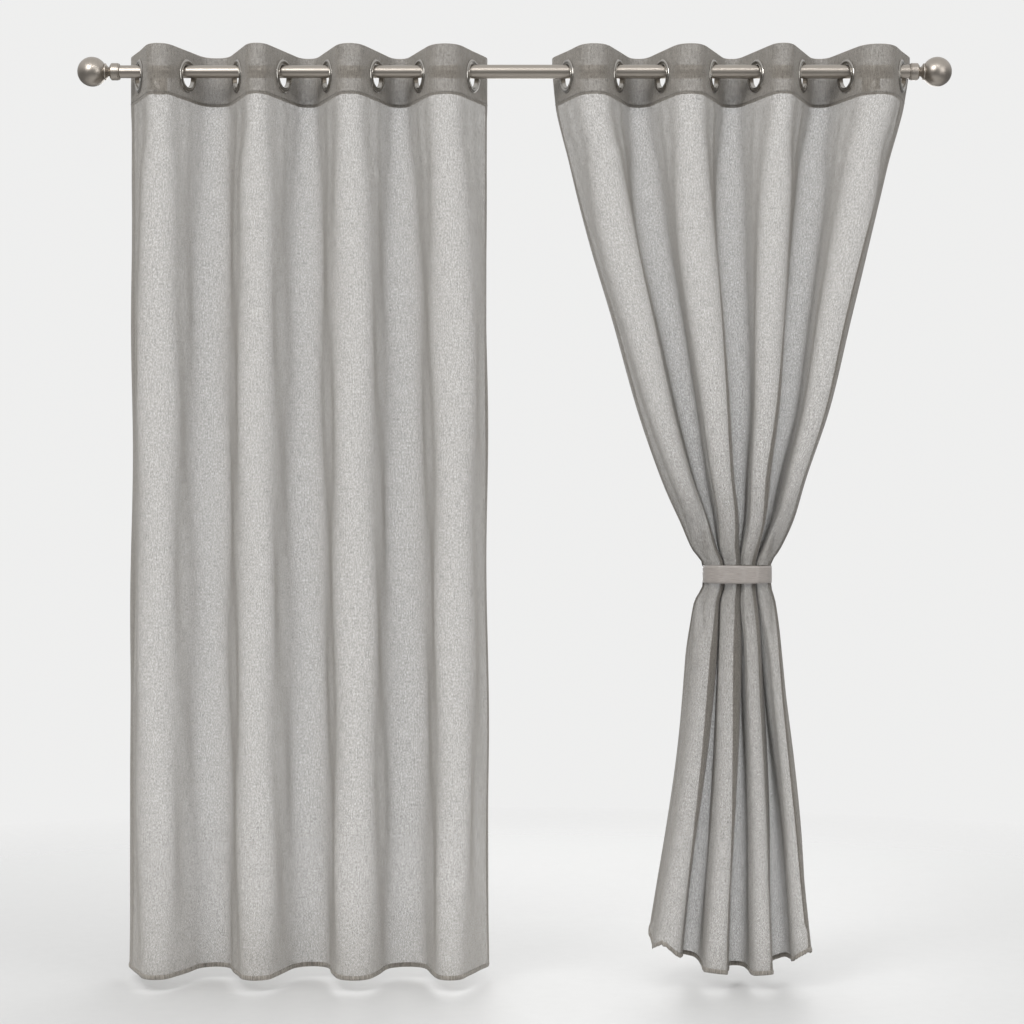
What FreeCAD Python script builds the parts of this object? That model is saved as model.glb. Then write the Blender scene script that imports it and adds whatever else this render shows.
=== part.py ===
"""Grommet curtains on a telescoping rod: rod, finials, wall brackets, two panels and a tieback.

Frame: origin on the wall, midway between the brackets, at the height of the rod's axis.
+X runs along the rod to the viewer's right, +Y goes into the wall, +Z is up. Millimetres.
"""
import FreeCAD, Part
import math
import os

os.makedirs("parts", exist_ok=True)
Vector = FreeCAD.Vector

# Rod: an outer tube from the right, and an inner tube that slides out of it to the left
ROD_Y = -90.0
OUTER_R = 12.0
OUTER_BORE_R = 11.1
INNER_R = 11.0
INNER_BORE_R = 10.1
COLLAR_FACE_X = 685.0
COLLAR_DEPTH = 10.0
OUTER_OPEN_X = -115.0
INNER_END_X = 585.0
PLUG_FLANGE = 3.0
PLUG_LENGTH = 18.0

# Finials: a collar on the tube's end, and a turned neck with a ball that screws into it
COLLAR_R = 14.8
COLLAR_LENGTH = 16.6
WAIST_R = 7.8
BEAD_R = 14.0
BEAD_WIDTH = 3.6
BALL_R = 25.5
BALL_X = 733.0
BALL_WALL = 1.2
STUD_R = 3.0
STUD_LENGTH = 5.0
STUD_CLEARANCE = 0.06

# Wall brackets
BRACKET_X = 629.0
PLATE_WIDTH = 26.0
PLATE_HEIGHT = 45.0
PLATE_THICK = 3.0
SCREW_SPACING_Z = 29.0
SCREW_HOLE_R = 2.4
ARM_WIDTH = 8.0
ARM_HEIGHT = 8.0
CRADLE_WIDTH = 9.0
CRADLE_WALL = 3.0
CRADLE_LIP_Z = 5.0
REST_GAP = 0.3
THUMBSCREW_R = 2.0
THUMBSCREW_CLEARANCE = 0.06
THUMBSCREW_DROP = 3.0
THUMB_HEAD_R = 6.0
THUMB_HEAD_LENGTH = 6.0
KNURL_COUNT = 16
KNURL_R = 0.7

# Curtain panels: flat cloth with a grommet every 165 mm, hung in folds
TOP_Z = 35.0
HEADER_BOTTOM_Z = -50.0
BOTTOM_Z = -1565.0
FOLD_CLOTH = 165.0
FLANK_ANGLE = 68.0
EDGE_STRAIGHT = 55.0
EDGE_CURL_R = 36.0
EDGE_CURL_ANGLE = 44.0
CLOTH_THICK = 1.5
HEADER_THICK = 3.0
HEM_THICK = 3.4
HEM_HEIGHT = 8.4
SIDE_HEM_WIDTH = 5.0
SIDE_HEM_THICK = 3.0

# Each panel's first grommet, and the gaps between its grommets as the folds stand
LEFT_FIRST_X = -650.0
LEFT_GAPS = (81.5, 88.5, 78.0, 78.0, 83.5, 76.5, 90.0)
RIGHT_FIRST_X = 92.5
RIGHT_GAPS = (87.0, 78.0, 87.0, 76.0, 78.0, 78.0, 94.0)

# The tied panel, from the header down: height, left edge, right edge, half depth
TIED_STATIONS = (
    (HEADER_BOTTOM_Z, 72.0, 692.0, 66.0),
    (-295.0, 136.0, 622.0, 60.0),
    (-580.0, 220.0, 552.0, 48.0),
    (-775.0, 291.0, 486.0, 38.0),
    (-855.0, 334.0, 438.0, 30.0),
    (-889.0, 334.0, 438.0, 30.0),
    (-990.0, 308.0, 461.0, 38.0),
    (-1195.0, 287.0, 483.0, 46.0),
    (-1430.0, 249.0, 506.0, 54.0),
    (BOTTOM_Z + HEM_HEIGHT, 232.0, 517.0, 58.0),
)

EDGE_FLATTENING = 0.75

# Grommets: a domed front ring whose barrel goes through the cloth, and a flat back ring
GROMMET_HOLE_R = 20.0
GROMMET_BARREL_R = 21.6
GROMMET_R = 28.5
CLOTH_HOLE_R = 22.2
FLANGE_SEAT = 1.9
FRONT_FACE = 4.3
BACK_FACE = 3.9
GROMMET_Z = OUTER_R + REST_GAP - GROMMET_HOLE_R

# Tieback: a strap wrapped round the gathered panel and closed behind it
TIE_X = 386.0
TIE_Z = -872.0
TIE_HEIGHT = 30.5
TIE_HALF_WIDTH = 60.5
TIE_HALF_DEPTH = 38.0
TIE_CORNER_SHARE = 0.92
STRAP_THICK = 1.6
PAD_WIDTH = 26.0
PAD_HEIGHT = 24.0
PAD_THICK = 1.2
TAB_WIDTH = 36.0
TAB_GAP = 0.3


def save(node, shape):
    shape.exportStep("parts/" + node + ".step")


def box(x0, y0, z0, x1, y1, z1):
    return Part.makeBox(x1 - x0, y1 - y0, z1 - z0, Vector(x0, y0, z0))


def rod_cylinder(radius, x0, x1):
    return Part.makeCylinder(radius, x1 - x0, Vector(x0, ROD_Y, 0), Vector(1, 0, 0))


def turned(edges, side):
    """Turn a half outline, drawn as distance outwards and radius, about the rod's axis."""
    face = Part.Face(Part.Wire(edges))
    solid = face.revolve(Vector(0, 0, 0), Vector(1, 0, 0), 360)
    if side < 0:
        solid = solid.mirror(Vector(0, 0, 0), Vector(1, 0, 0))
    solid.translate(Vector(0, ROD_Y, 0))
    return solid


def outline(points):
    """Straight edges through the points, closed; a point with a middle makes an arc."""
    edges = []
    last = Vector(*points[0])
    for point in points[1:]:
        if len(point) == 2:
            middle, end = Vector(*point[0]), Vector(*point[1])
            edges.append(Part.Arc(last, middle, end).toShape())
        else:
            end = Vector(*point)
            edges.append(Part.LineSegment(last, end).toShape())
        last = end
    start = Vector(*points[0])
    if not last.isEqual(start, 1e-6):
        edges.append(Part.LineSegment(last, start).toShape())
    return edges


# ---------------------------------------------------------------- rod and finials

def make_rod():
    tube_end = COLLAR_FACE_X + COLLAR_DEPTH
    outer = rod_cylinder(OUTER_R, OUTER_OPEN_X, tube_end)
    outer = outer.cut(rod_cylinder(OUTER_BORE_R, OUTER_OPEN_X, tube_end))
    save("rod_outer_tube", outer)

    inner = rod_cylinder(INNER_R, -tube_end, INNER_END_X)
    inner = inner.cut(rod_cylinder(INNER_BORE_R, -tube_end, INNER_END_X))
    save("rod_inner_tube", inner)

    flange = rod_cylinder(INNER_R, INNER_END_X, INNER_END_X + PLUG_FLANGE)
    shank = rod_cylinder(INNER_BORE_R, INNER_END_X - PLUG_LENGTH, INNER_END_X)
    save("rod_inner_end_plug", flange.fuse(shank).removeSplitter())


def make_finial(name, side, tube_r):
    face = COLLAR_FACE_X
    end = face + COLLAR_LENGTH
    floor = face + COLLAR_DEPTH
    stud_hole_r = STUD_R + STUD_CLEARANCE
    collar = turned(outline((
        (face, tube_r, 0), (face, COLLAR_R - 1.6, 0), (face + 1.0, COLLAR_R - 0.8, 0),
        (face + 2.2, COLLAR_R - 0.8, 0), (face + 2.8, COLLAR_R, 0), (end - 2.6, COLLAR_R, 0),
        (end, COLLAR_R - 3.4, 0), (end, stud_hole_r, 0), (floor, stud_hole_r, 0),
        (floor, tube_r, 0))), side)
    save(name + "_finial_collar", collar)

    neck_start = end + REST_GAP
    ball_seat = BALL_X - math.sqrt(BALL_R ** 2 - BEAD_R ** 2)
    bead_start = ball_seat - BEAD_WIDTH
    bead_middle = (bead_start + ball_seat) / 2
    cone_top_r = BEAD_R - 1.6
    stud_start = neck_start - STUD_LENGTH
    neck = turned(outline((
        (stud_start, 0, 0), (stud_start, STUD_R, 0), (neck_start, STUD_R, 0),
        (neck_start, WAIST_R + 1.2, 0), (neck_start + 1.4, WAIST_R, 0),
        ((bead_start - 2.2, WAIST_R + 1.9, 0), (bead_start, cone_top_r, 0)),
        (bead_start, BEAD_R - 0.7, 0),
        ((bead_middle, BEAD_R + 0.4, 0), (ball_seat, BEAD_R - 0.7, 0)),
        (ball_seat, 0, 0))), side)
    save(name + "_finial_neck", neck)

    tip = BALL_X + BALL_R
    inner_r = BALL_R - BALL_WALL
    inner_mouth_r = math.sqrt(inner_r ** 2 - (BALL_X - ball_seat) ** 2)
    ball = turned(outline((
        (ball_seat, inner_mouth_r, 0), (ball_seat, BEAD_R, 0),
        ((BALL_X, BALL_R, 0), (tip, 0, 0)), (tip - BALL_WALL, 0, 0),
        ((BALL_X, inner_r, 0), (ball_seat, inner_mouth_r, 0)))), side)
    save(name + "_finial_ball", ball)


# ---------------------------------------------------------------- wall brackets

def make_bracket(name, side, tube_r):
    x = side * BRACKET_X
    plate = box(x - PLATE_WIDTH / 2, -PLATE_THICK, -PLATE_HEIGHT / 2,
                x + PLATE_WIDTH / 2, 0, PLATE_HEIGHT / 2)
    upright = [e for e in plate.Edges if abs(e.tangentAt(e.FirstParameter).y) > 0.99]
    plate = plate.makeFillet(4.0, upright)
    rim = [e for e in plate.Edges if e.BoundBox.YMax < -PLATE_THICK + 0.01]
    plate = plate.makeChamfer(0.8, rim)
    for z in (-SCREW_SPACING_Z / 2, SCREW_SPACING_Z / 2):
        hole = Part.makeCylinder(SCREW_HOLE_R, PLATE_THICK, Vector(x, -PLATE_THICK, z), Vector(0, 1, 0))
        plate = plate.cut(hole)
    save(name + "_bracket_wall_plate", plate)

    seat_r = tube_r + REST_GAP
    cradle_r = seat_r + CRADLE_WALL
    screw_hole_r = THUMBSCREW_R + THUMBSCREW_CLEARANCE
    cradle = Part.makeCylinder(cradle_r, CRADLE_WIDTH, Vector(x - CRADLE_WIDTH / 2, ROD_Y, 0), Vector(1, 0, 0))
    lips = box(x - CRADLE_WIDTH / 2, ROD_Y - cradle_r, 0, x + CRADLE_WIDTH / 2, ROD_Y + cradle_r, CRADLE_LIP_Z)
    cradle = cradle.cut(box(x - 20, ROD_Y - 40, 0, x + 20, ROD_Y + 40, 40)).fuse(lips)
    cradle = cradle.cut(Part.makeCylinder(seat_r, 40, Vector(x - 20, ROD_Y, 0), Vector(1, 0, 0)))
    cradle = cradle.cut(box(x - 20, ROD_Y - seat_r, 0, x + 20, ROD_Y + seat_r, 40)).removeSplitter()
    arm_top = -cradle_r + 1.4
    arm_bottom = arm_top - ARM_HEIGHT
    arm_front = ROD_Y - ARM_WIDTH
    arm = box(x - ARM_WIDTH / 2, arm_front, arm_bottom, x + ARM_WIDTH / 2, -PLATE_THICK, arm_top)
    nose = [e for e in arm.Edges
            if abs(e.tangentAt(e.FirstParameter).z) > 0.99 and e.BoundBox.YMax < arm_front + 0.01]
    arm = arm.makeFillet(3.0, nose)
    cradle = cradle.cut(arm)
    screw_hole = Part.makeCylinder(screw_hole_r, 60, Vector(x, ROD_Y, -60), Vector(0, 0, 1))
    save(name + "_bracket_cradle", cradle.cut(screw_hole))
    save(name + "_bracket_arm", arm.cut(screw_hole))

    tip_z = -tube_r - REST_GAP
    head_top = arm_bottom - THUMBSCREW_DROP
    head_bottom = head_top - THUMB_HEAD_LENGTH
    shank = Part.makeCylinder(THUMBSCREW_R, tip_z - head_top, Vector(x, ROD_Y, head_top), Vector(0, 0, 1))
    head = Part.makeCylinder(THUMB_HEAD_R, THUMB_HEAD_LENGTH, Vector(x, ROD_Y, head_bottom), Vector(0, 0, 1))
    head = head.makeChamfer(0.8, [e for e in head.Edges if e.Closed])
    for i in range(KNURL_COUNT):
        turn = 2 * math.pi * i / KNURL_COUNT
        groove_at = Vector(x + THUMB_HEAD_R * math.cos(turn),
                           ROD_Y + THUMB_HEAD_R * math.sin(turn), head_bottom)
        head = head.cut(Part.makeCylinder(KNURL_R, THUMB_HEAD_LENGTH, groove_at, Vector(0, 0, 1)))
    save(name + "_bracket_thumbscrew", head.fuse(shank).removeSplitter())


# ---------------------------------------------------------------- folds, seen from above

def fold_moves(gaps):
    """The panel's plan as a walk from its left edge to its right: lines, and arcs with a turn."""
    flank = math.radians(FLANK_ANGLE)
    curl = math.radians(EDGE_CURL_ANGLE)
    moves = [("arc", EDGE_CURL_R, curl), ("line", EDGE_STRAIGHT)]
    for i, gap in enumerate(gaps):
        crest_r = (gap - FOLD_CLOTH * math.cos(flank)) / (2 * (math.sin(flank) - flank * math.cos(flank)))
        half = (FOLD_CLOTH - 2 * flank * crest_r) / 2
        turn = 2 * flank if i % 2 == 0 else -2 * flank
        moves += [("line", half), ("arc", crest_r, turn), ("line", half)]
    return moves + [("line", EDGE_STRAIGHT), ("arc", EDGE_CURL_R, curl)]


def step(pose, move):
    x, y, heading = pose
    if move[0] == "line":
        return x + move[1] * math.cos(heading), y + move[1] * math.sin(heading), heading
    radius, turn = move[1], move[2]
    bend = math.copysign(radius, turn)
    after = heading + turn
    moved_x = x + bend * (math.sin(after) - math.sin(heading))
    moved_y = y - bend * (math.cos(after) - math.cos(heading))
    return moved_x, moved_y, after


def start_pose(first_x):
    """Where the walk begins, so that it meets the rod's line at the first grommet."""
    heading = -math.radians(FLANK_ANGLE + EDGE_CURL_ANGLE)
    pose = (0.0, 0.0, heading)
    for move in fold_moves(())[:2]:
        pose = step(pose, move)
    return first_x - pose[0], ROD_Y - pose[1], heading


def length_of(move):
    return move[1] if move[0] == "line" else move[1] * abs(move[2])


def trimmed(pose, moves, begin, end):
    """The walk between two distances along the cloth, and the pose it begins at."""
    kept = []
    at = 0.0
    first = None
    for move in moves:
        length = length_of(move)
        low, high = max(begin - at, 0.0), min(end - at, length)
        if high - low > 1e-6:
            if first is None:
                first = step(pose, part_of(move, low))
            kept.append(part_of(move, high - low))
        pose = step(pose, move)
        at += length
    return first, kept


def part_of(move, length):
    if move[0] == "line":
        return ("line", length)
    return ("arc", move[1], math.copysign(length / move[1], move[2]))


def side_edges(pose, moves, offset, z):
    """One face of the cloth: the walk moved sideways to its left by the offset."""
    edges = []

    def beside(at):
        return Vector(at[0] - offset * math.sin(at[2]), at[1] + offset * math.cos(at[2]), z)

    for move in moves:
        after = step(pose, move)
        if move[0] == "line":
            edges.append(Part.LineSegment(beside(pose), beside(after)).toShape())
        else:
            middle = step(pose, part_of(move, length_of(move) / 2))
            edges.append(Part.Arc(beside(pose), beside(middle), beside(after)).toShape())
        pose = after
    return edges, beside(pose)


def folded_strip(pose, moves, thick, z0, z1):
    left, left_end = side_edges(pose, moves, thick / 2, z0)
    right, right_end = side_edges(pose, moves, -thick / 2, z0)
    left_start, right_start = left[0].Vertexes[0].Point, right[0].Vertexes[0].Point
    caps = [Part.LineSegment(left_end, right_end).toShape(),
            Part.LineSegment(right_start, left_start).toShape()]
    face = Part.Face(Part.Wire(Part.__sortEdges__(left + right + caps)))
    return face.extrude(Vector(0, 0, z1 - z0))


def grommet_places(first_x, gaps):
    """Centre and outward normal of each grommet; the folds lean either way in turn."""
    places = []
    x = first_x
    for i in range(len(gaps) + 1):
        heading = math.radians(FLANK_ANGLE) * (-1 if i % 2 == 0 else 1)
        normal = Vector(math.sin(heading), -math.cos(heading), 0)
        places.append((Vector(x, ROD_Y, GROMMET_Z), normal))
        if i < len(gaps):
            x += gaps[i]
    return places


def hanging_panel(first_x, gaps):
    """Pose, moves and full length of a panel's walk."""
    moves = fold_moves(gaps)
    return start_pose(first_x), moves, sum(length_of(move) for move in moves)


def make_header(name, first_x, gaps):
    pose, moves, _ = hanging_panel(first_x, gaps)
    band = folded_strip(pose, moves, HEADER_THICK, HEADER_BOTTOM_Z, TOP_Z)
    for centre, normal in grommet_places(first_x, gaps):
        reach = 2 * HEADER_THICK
        band = band.cut(Part.makeCylinder(CLOTH_HOLE_R, 2 * reach, centre - normal * reach, normal))
    save(name + "_panel_header_band", band)


def make_left_cloth():
    pose, moves, length = hanging_panel(LEFT_FIRST_X, LEFT_GAPS)
    hem_top = BOTTOM_Z + HEM_HEIGHT
    inner = trimmed(pose, moves, SIDE_HEM_WIDTH, length - SIDE_HEM_WIDTH)
    save("left_panel_cloth", folded_strip(*inner, CLOTH_THICK, hem_top, HEADER_BOTTOM_Z))
    save("left_panel_bottom_hem", folded_strip(pose, moves, HEM_THICK, BOTTOM_Z, hem_top))
    edges = [trimmed(pose, moves, 0, SIDE_HEM_WIDTH), trimmed(pose, moves, length - SIDE_HEM_WIDTH, length)]
    strips = [folded_strip(*edge, SIDE_HEM_THICK, hem_top, HEADER_BOTTOM_Z) for edge in edges]
    save("left_panel_side_hems", Part.makeCompound(strips))


# ---------------------------------------------------------------- the tied panel

def fold_shares(first_x, gaps):
    """Crest places as shares of the panel's width, from its left edge to its right."""
    places = grommet_places(first_x, gaps)
    crests = [(a[0].x + b[0].x) / 2 for a, b in zip(places, places[1:])]
    low, high = TIED_STATIONS[0][1], TIED_STATIONS[0][2]
    return [0.0] + [(x - low) / (high - low) for x in crests] + [1.0]


def crest_line(station):
    """Plan points of the tied panel at one height: edges and crests, back and front in turn."""
    z, low, high, depth = station
    points = []
    for i, share in enumerate(fold_shares(RIGHT_FIRST_X, RIGHT_GAPS)):
        side = 1 if i % 2 == 0 else -1
        rounding = math.sqrt(1 - EDGE_FLATTENING * (2 * share - 1) ** 2)
        points.append(Vector(low + share * (high - low), ROD_Y + side * depth * rounding, z))
    return points


def ribbon_wire(points, thick):
    """A closed outline round a zigzag, mitred at its crests."""
    offsets = []
    for i, point in enumerate(points):
        before = (point - points[i - 1]).normalize() if i > 0 else None
        after = (points[i + 1] - point).normalize() if i < len(points) - 1 else before
        before = before or after
        across = Vector(-(before.y + after.y), before.x + after.x, 0).normalize()
        mitre = across.dot(Vector(-before.y, before.x, 0))
        offsets.append(across * (thick / 2 / mitre))
    ahead = [p + o for p, o in zip(points, offsets)]
    back = [p - o for p, o in zip(points, offsets)]
    ring = ahead + back[::-1]
    return Part.makePolygon(ring + [ring[0]])


def inset_ends(points, inset):
    first, last = points[0], points[-1]
    start = first + (points[1] - first).normalize() * inset
    end = last + (points[-2] - last).normalize() * inset
    return [start] + points[1:-1] + [end]


def lofted(lines, thick):
    return Part.makeLoft([ribbon_wire(line, thick) for line in lines], True, True)


def make_tied_cloth():
    lines = [crest_line(station) for station in TIED_STATIONS]
    save("right_panel_cloth", lofted([inset_ends(line, SIDE_HEM_WIDTH) for line in lines], CLOTH_THICK))

    edges = []
    for first, second in ((0, 1), (-1, -2)):
        strip = []
        for line in lines:
            along = (line[second] - line[first]).normalize()
            strip.append([line[first], line[first] + along * SIDE_HEM_WIDTH])
        edges.append(lofted(strip, SIDE_HEM_THICK))
    save("right_panel_side_hems", Part.makeCompound(edges))

    face = Part.Face(ribbon_wire(lines[-1], HEM_THICK))
    save("right_panel_bottom_hem", face.extrude(Vector(0, 0, -HEM_HEIGHT)))


# ---------------------------------------------------------------- grommets

def ring_solids():
    """Front and back ring about +Z, with the cloth's middle at zero height."""
    hole, barrel, rim = GROMMET_HOLE_R, GROMMET_BARREL_R, GROMMET_R
    front = outline((
        (hole, 0, -BACK_FACE), (barrel, 0, -BACK_FACE), (barrel, 0, FLANGE_SEAT), (rim, 0, FLANGE_SEAT),
        (rim, 0, FLANGE_SEAT + 0.7),
        ((rim - 2.3, 0, FRONT_FACE), (hole + 2.4, 0, FRONT_FACE - 0.5)),
        (hole + 1.9, 0, FRONT_FACE - 1.0), (hole + 1.4, 0, FRONT_FACE - 0.2), (hole + 0.6, 0, FRONT_FACE - 0.2),
        (hole, 0, FRONT_FACE - 0.8)))
    back = outline((
        (barrel, 0, -FLANGE_SEAT), (barrel, 0, -BACK_FACE),
        (rim - 1.2, 0, -BACK_FACE), (rim, 0, -BACK_FACE + 0.8), (rim, 0, -FLANGE_SEAT)))
    rings = []
    for edges in (front, back):
        rings.append(Part.Face(Part.Wire(edges)).revolve(Vector(0, 0, 0), Vector(0, 0, 1), 360))
    return rings


def make_grommets(name, first_x, gaps):
    front, back = ring_solids()
    for i, (centre, normal) in enumerate(grommet_places(first_x, gaps), start=1):
        place = FreeCAD.Placement(centre, FreeCAD.Rotation(Vector(0, 0, 1), normal))
        for side, ring in (("front", front), ("back", back)):
            placed = ring.copy()
            placed.Placement = place
            save("%s_grommet_%d_%s_ring" % (name, i, side), placed)


# ---------------------------------------------------------------- tieback

def oval_prism(half_width, half_depth, height, z0):
    """A long oval prism with a straight front and back and wide rounded corners."""
    corner = half_depth * TIE_CORNER_SHARE
    shape = box(TIE_X - half_width, ROD_Y - half_depth, z0, TIE_X + half_width, ROD_Y + half_depth, z0 + height)
    corners = [e for e in shape.Edges if abs(e.tangentAt(e.FirstParameter).z) > 0.99]
    return shape.makeFillet(corner, corners)


def make_tieback():
    z0 = TIE_Z - TIE_HEIGHT / 2
    ring = oval_prism(TIE_HALF_WIDTH, TIE_HALF_DEPTH, TIE_HEIGHT, z0)
    inside = oval_prism(TIE_HALF_WIDTH - STRAP_THICK, TIE_HALF_DEPTH - STRAP_THICK, TIE_HEIGHT, z0)
    save("tieback_strap", ring.cut(inside))

    back = ROD_Y + TIE_HALF_DEPTH
    pad = box(TIE_X - PAD_WIDTH / 2, back, TIE_Z - PAD_HEIGHT / 2,
              TIE_X + PAD_WIDTH / 2, back + PAD_THICK, TIE_Z + PAD_HEIGHT / 2)
    save("tieback_fastener_pad", pad)

    tab_y = back + PAD_THICK + TAB_GAP
    tab = box(TIE_X - TAB_WIDTH / 2, tab_y, z0, TIE_X + TAB_WIDTH / 2, tab_y + STRAP_THICK, z0 + TIE_HEIGHT)
    free = [e for e in tab.Edges
            if abs(e.tangentAt(e.FirstParameter).y) > 0.99 and e.BoundBox.XMax < TIE_X]
    save("tieback_fastener_tab", tab.makeFillet(6.0, free))


make_rod()
for side_name, side_sign, tube_radius in (("left", -1, INNER_R), ("right", 1, OUTER_R)):
    make_finial(side_name, side_sign, tube_radius)
    make_bracket(side_name, side_sign, tube_radius)
for panel_name, panel_x, panel_gaps in (("left", LEFT_FIRST_X, LEFT_GAPS),
                                        ("right", RIGHT_FIRST_X, RIGHT_GAPS)):
    make_header(panel_name, panel_x, panel_gaps)
    make_grommets(panel_name, panel_x, panel_gaps)
make_left_cloth()
make_tied_cloth()
make_tieback()
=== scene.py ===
"""Looks for a pair of grommet curtains on a telescoping rod: one hangs straight, one is tied back.

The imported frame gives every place. Lengths are in metres. On a panel, "across" runs from its left
edge to its right edge over the flat cloth, and "down" runs from its top edge to its bottom edge.
"""
import math

import bpy
import numpy as np
from bpy.props import FloatProperty, FloatVectorProperty, IntProperty, PointerProperty
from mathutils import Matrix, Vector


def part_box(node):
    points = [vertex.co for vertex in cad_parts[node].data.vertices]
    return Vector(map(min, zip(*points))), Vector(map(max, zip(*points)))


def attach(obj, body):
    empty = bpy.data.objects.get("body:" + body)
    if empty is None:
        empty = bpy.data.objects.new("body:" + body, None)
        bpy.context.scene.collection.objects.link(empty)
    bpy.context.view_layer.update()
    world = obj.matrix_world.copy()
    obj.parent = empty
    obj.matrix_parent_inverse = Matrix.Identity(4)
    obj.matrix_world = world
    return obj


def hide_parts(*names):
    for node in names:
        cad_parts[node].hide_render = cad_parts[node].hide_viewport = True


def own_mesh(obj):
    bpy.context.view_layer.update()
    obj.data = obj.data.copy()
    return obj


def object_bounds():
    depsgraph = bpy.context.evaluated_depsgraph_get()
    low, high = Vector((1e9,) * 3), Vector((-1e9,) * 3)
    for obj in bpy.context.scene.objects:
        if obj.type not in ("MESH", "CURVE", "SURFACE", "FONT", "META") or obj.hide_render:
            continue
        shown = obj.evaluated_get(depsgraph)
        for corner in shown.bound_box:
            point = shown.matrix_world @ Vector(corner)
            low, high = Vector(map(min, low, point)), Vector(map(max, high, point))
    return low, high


bl_info = {
    "name": "Grommet curtains",
    "version": (1, 0, 0),
    "blender": (4, 5, 0),
    "location": "View3D > Sidebar > Curtains",
    "description": "Sheer grommet curtains, their rod, finials, brackets and tieback",
    "category": "Object",
}

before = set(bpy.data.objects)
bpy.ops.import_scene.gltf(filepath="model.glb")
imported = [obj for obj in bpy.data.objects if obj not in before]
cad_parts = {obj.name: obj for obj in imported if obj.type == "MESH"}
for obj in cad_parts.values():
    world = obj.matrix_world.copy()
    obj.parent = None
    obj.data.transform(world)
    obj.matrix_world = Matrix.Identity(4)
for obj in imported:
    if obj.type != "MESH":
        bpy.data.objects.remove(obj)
CAD_BOX = [list(corner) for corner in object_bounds()]


# ---------------------------------------------------------------- places read from the frame

def box_of(*nodes):
    corners = [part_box(node) for node in nodes]
    low = [min(c[0][i] for c in corners) for i in range(3)]
    high = [max(c[1][i] for c in corners) for i in range(3)]
    return low, high


def middle_of(*nodes):
    low, high = box_of(*nodes)
    return [(a + b) / 2 for a, b in zip(low, high)]


def grommet_middle(side, number):
    name = "%s_grommet_%d_" % (side, number)
    return middle_of(name + "front_ring", name + "back_ring")


GROMMETS = 8
GROMMET_X = {side: [grommet_middle(side, n + 1)[0] for n in range(GROMMETS)] for side in ("left", "right")}
ROD_Y = middle_of("rod_outer_tube")[1]
GROMMET_Z = grommet_middle("left", 1)[2]
TOP_Z = box_of("left_panel_header_band")[1][2]
HEADER_Z = box_of("left_panel_header_band")[0][2]
HEM_Z = box_of("left_panel_bottom_hem")[0][2]
HEADER_DEEP = TOP_Z - HEADER_Z
PANEL_LONG = TOP_Z - HEM_Z
PANEL_WIDE = 1.32
FOLD = PANEL_WIDE / GROMMETS
TIE_LOW, TIE_HIGH = box_of("tieback_strap")
TIE_X = (TIE_LOW[0] + TIE_HIGH[0]) / 2
TIE_Z = (TIE_LOW[2] + TIE_HIGH[2]) / 2


# ---------------------------------------------------------------- settings

class CurtainClothSettings(bpy.types.PropertyGroup):
    light_thread: FloatVectorProperty(
        name="Light thread", description="Colour of the pale threads", subtype="COLOR",
        default=(0.57, 0.525, 0.462), min=0, max=1)
    dark_thread: FloatVectorProperty(
        name="Dark thread", description="Colour of the dark threads", subtype="COLOR",
        default=(0.075, 0.064, 0.052), min=0, max=1)
    cover: FloatProperty(
        name="Cover", description="Share of the cloth's face that thread fills", subtype="FACTOR",
        default=0.535, min=0, max=1)
    header_cover: FloatProperty(
        name="Header cover", description="Thread share of the stiffened facing", subtype="FACTOR",
        default=0.66, min=0, max=1)
    thread_pitch: FloatProperty(
        name="Thread pitch", description="Distance between neighbouring threads", unit="LENGTH",
        default=0.0007, min=0.0002, max=0.01)
    cell: FloatProperty(
        name="Mesh cell", description="Size of the cloth mesh's cells across", unit="LENGTH",
        default=0.00366, min=0.001, max=0.02)
    hem_height: FloatProperty(
        name="Hem height", description="Height of the rolled bottom hem", unit="LENGTH",
        default=0.0084, min=0.002, max=0.05)
    side_hem: FloatProperty(
        name="Side hem", description="Width of the rolled side hems", unit="LENGTH",
        default=0.005, min=0.002, max=0.03)
    stitch_pitch: FloatProperty(
        name="Overlock pitch", description="Distance between overlock stitches", unit="LENGTH",
        default=0.0024, min=0.001, max=0.01)
    unevenness: FloatProperty(
        name="Unevenness", description="How far the cloth strays from even folds", unit="LENGTH",
        default=0.0032, min=0, max=0.02)


class CurtainMetalSettings(bpy.types.PropertyGroup):
    nickel: FloatVectorProperty(
        name="Nickel", description="Colour of the brushed nickel", subtype="COLOR",
        default=(0.43, 0.39, 0.345), min=0, max=1)
    plate: FloatVectorProperty(
        name="Grommet plate", description="Colour of the grommets' plating", subtype="COLOR",
        default=(0.42, 0.40, 0.37), min=0, max=1)


class CurtainTiebackSettings(bpy.types.PropertyGroup):
    satin: FloatVectorProperty(
        name="Satin", description="Colour of the satin strap", subtype="COLOR",
        default=(0.36, 0.325, 0.30), min=0, max=1)
    thickness: FloatProperty(
        name="Strap thickness", description="Thickness of the strap", unit="LENGTH",
        default=0.0013, min=0.0005, max=0.004)
    hooks_across: IntProperty(
        name="Hooks across", description="Hooks in each row of the fastener", default=13, min=2, max=40)


class CurtainStageSettings(bpy.types.PropertyGroup):
    key_power: FloatProperty(
        name="Key light", description="Power of the main light", unit="POWER", default=62, min=0, max=1000)
    fill_power: FloatProperty(
        name="Fill light", description="Power of the fill light", unit="POWER", default=24, min=0, max=1000)
    surround: FloatProperty(
        name="Surround", description="Brightness of the pale surround", default=0.86, min=0, max=5)
    drop: FloatProperty(
        name="Floor drop", description="Gap between the hems and the floor", unit="LENGTH",
        default=0.020, min=0, max=1)


# ---------------------------------------------------------------- node helpers

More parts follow.
